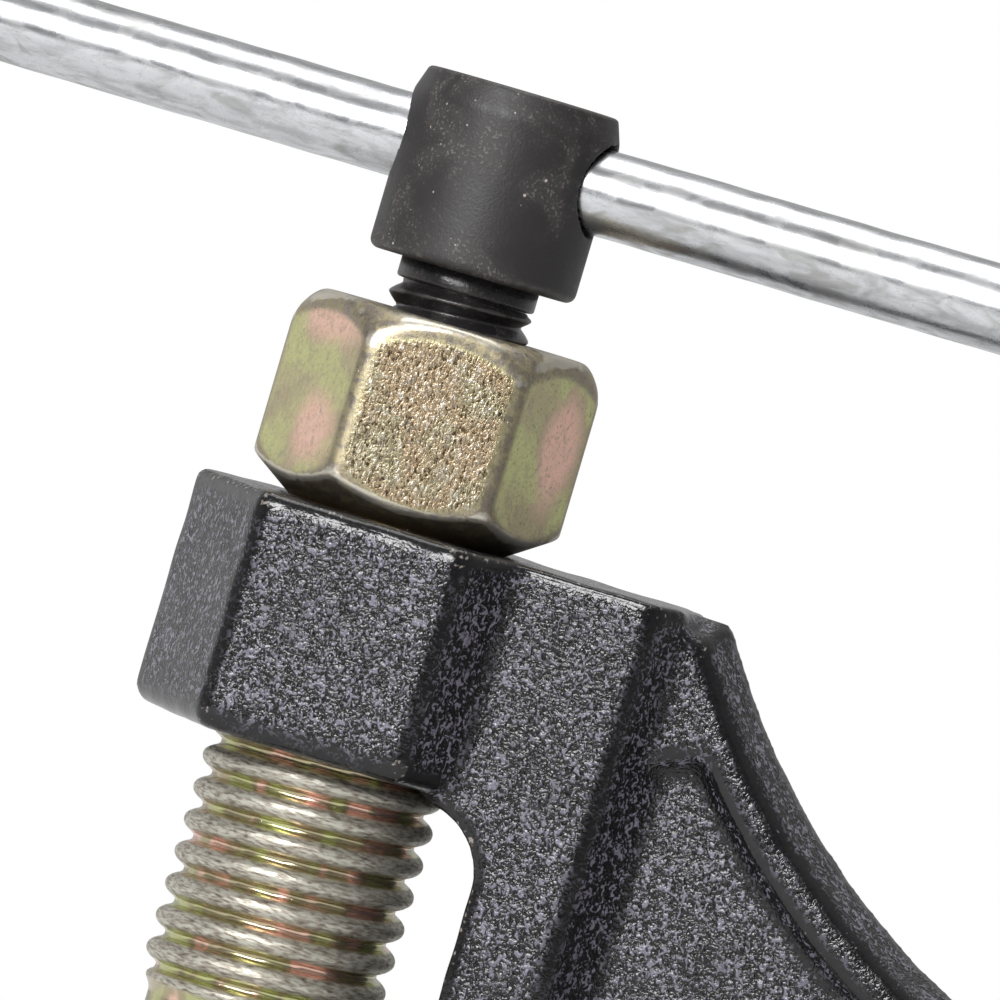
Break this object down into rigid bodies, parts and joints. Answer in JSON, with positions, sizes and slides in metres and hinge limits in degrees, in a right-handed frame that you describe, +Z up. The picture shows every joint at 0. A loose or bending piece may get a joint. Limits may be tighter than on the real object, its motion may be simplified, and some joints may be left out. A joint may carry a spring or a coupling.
{
  "type": "chain breaker",
  "caption": "Cast C-frame screw press with a side handle, a hollow hex pressure screw, an inner screw with a sliding bar and push pin, and a forked anvil jaw.",
  "frame": {"origin": "on the screw axis, in the plane of the flat base under the jaw", "axes": "+Z up the screw axis, +X towards the handle"},
  "size_m": [0.1841, 0.0276, 0.1157],
  "materials": {
    "wrinkle_paint": "coarse wrinkle",
    "yellow_zinc": "yellow passivated zinc",
    "black_oxide": "black oxide, matte",
    "bright_steel": "plain, slightly tarnished",
    "spring_steel": "satin"
  },
  "bodies": {
    "frame": {"frame": "wrinkle_paint"},
    "guide_nose": {"guide_nose": "black_oxide"},
    "pressure_screw": {"pressure_screw": "yellow_zinc", "retaining_clip": "spring_steel", "punch_return_spring": "spring_steel"},
    "punch": {"punch_pin": "bright_steel", "thrust_ball": "bright_steel"},
    "drive_screw": {"drive_screw": "black_oxide"},
    "tommy_bar": {"tommy_bar": "bright_steel", "bar_end_cap_left": "bright_steel", "bar_end_cap_right": "bright_steel"}
  },
  "joints": [
    {"name": "nose_travel", "type": "slide", "parent": "frame", "child": "guide_nose", "axis": [0, 0, 1], "range_m": [0, 0.03]},
    {"name": "pressure_screw_turn", "type": "hinge", "parent": "guide_nose", "child": "pressure_screw", "pos_m": [0, 0, 0.082], "axis": [0, 0, 1], "range_deg": [0, 4320]},
    {"name": "punch_travel", "type": "slide", "parent": "pressure_screw", "child": "punch", "axis": [0, 0, 1], "range_m": [-0.00378, 0.0135], "deforming": ["punch_return_spring"]},
    {"name": "drive_screw_turn", "type": "hinge", "parent": "punch", "child": "drive_screw", "pos_m": [0, 0, 0.1], "axis": [0, 0, 1], "range_deg": [-756, 2700]},
    {"name": "bar_slide", "type": "slide", "parent": "drive_screw", "child": "tommy_bar", "axis": [0.9969, -0.0785, 0], "range_m": [-0.038, 0.038]}
  ],
  "couplings": [
    {"joint": "nose_travel", "follows": "pressure_screw_turn", "m_per_rad": 0.00039789},
    {"joint": "punch_travel", "follows": "drive_screw_turn", "m_per_rad": 0.00028648}
  ]
}
